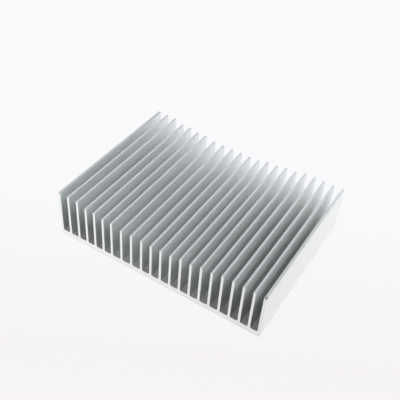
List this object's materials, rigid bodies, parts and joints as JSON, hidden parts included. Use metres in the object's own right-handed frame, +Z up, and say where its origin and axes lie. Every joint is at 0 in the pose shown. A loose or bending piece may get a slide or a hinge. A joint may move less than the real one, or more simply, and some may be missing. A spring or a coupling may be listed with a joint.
{
  "type": "extruded heat sink",
  "caption": "Extruded aluminium heat sink: a flat base with upright parallel fins whose tips step down to a shallow trough.",
  "frame": {"origin": "middle of the flat underside, halfway across the fins and halfway along the cut length", "axes": "+X across the fins from the left side to the right side, +Y along the extrusion from the front sawn end to the back one, +Z up from the underside to the fin tips"},
  "size_m": [0.1334, 0.1, 0.0318],
  "materials": {
    "aluminium": "bright mill finish, satin along the extrusion, with sawn ends"
  },
  "bodies": {
    "root": {"heat_sink": "aluminium"}
  },
  "joints": []
}
